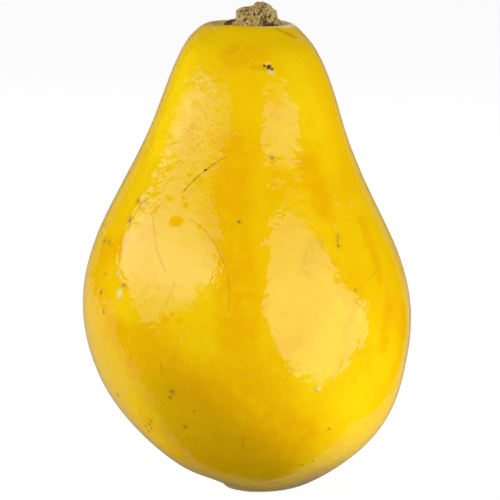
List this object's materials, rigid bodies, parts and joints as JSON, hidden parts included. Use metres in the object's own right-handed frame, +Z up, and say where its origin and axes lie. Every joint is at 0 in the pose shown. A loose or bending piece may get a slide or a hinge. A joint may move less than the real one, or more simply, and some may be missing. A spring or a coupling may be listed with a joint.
{
  "type": "papaya",
  "caption": "Ripe yellow pear-shaped papaya with a broken stub of stalk in its top, standing on its blossom end.",
  "frame": {"origin": "on the flat resting spot, under the middle of the bounding box", "axes": "+Z up through the stalk, -Y towards the front, +X to the right seen from the front"},
  "size_m": [0.1008, 0.0986, 0.1499],
  "materials": {
    "skin": "smooth waxy ripe skin, glossy",
    "stalk": "dry broken fibres, matt"
  },
  "bodies": {
    "root": {"fruit": "skin", "stem_stub": "stalk"}
  },
  "joints": []
}
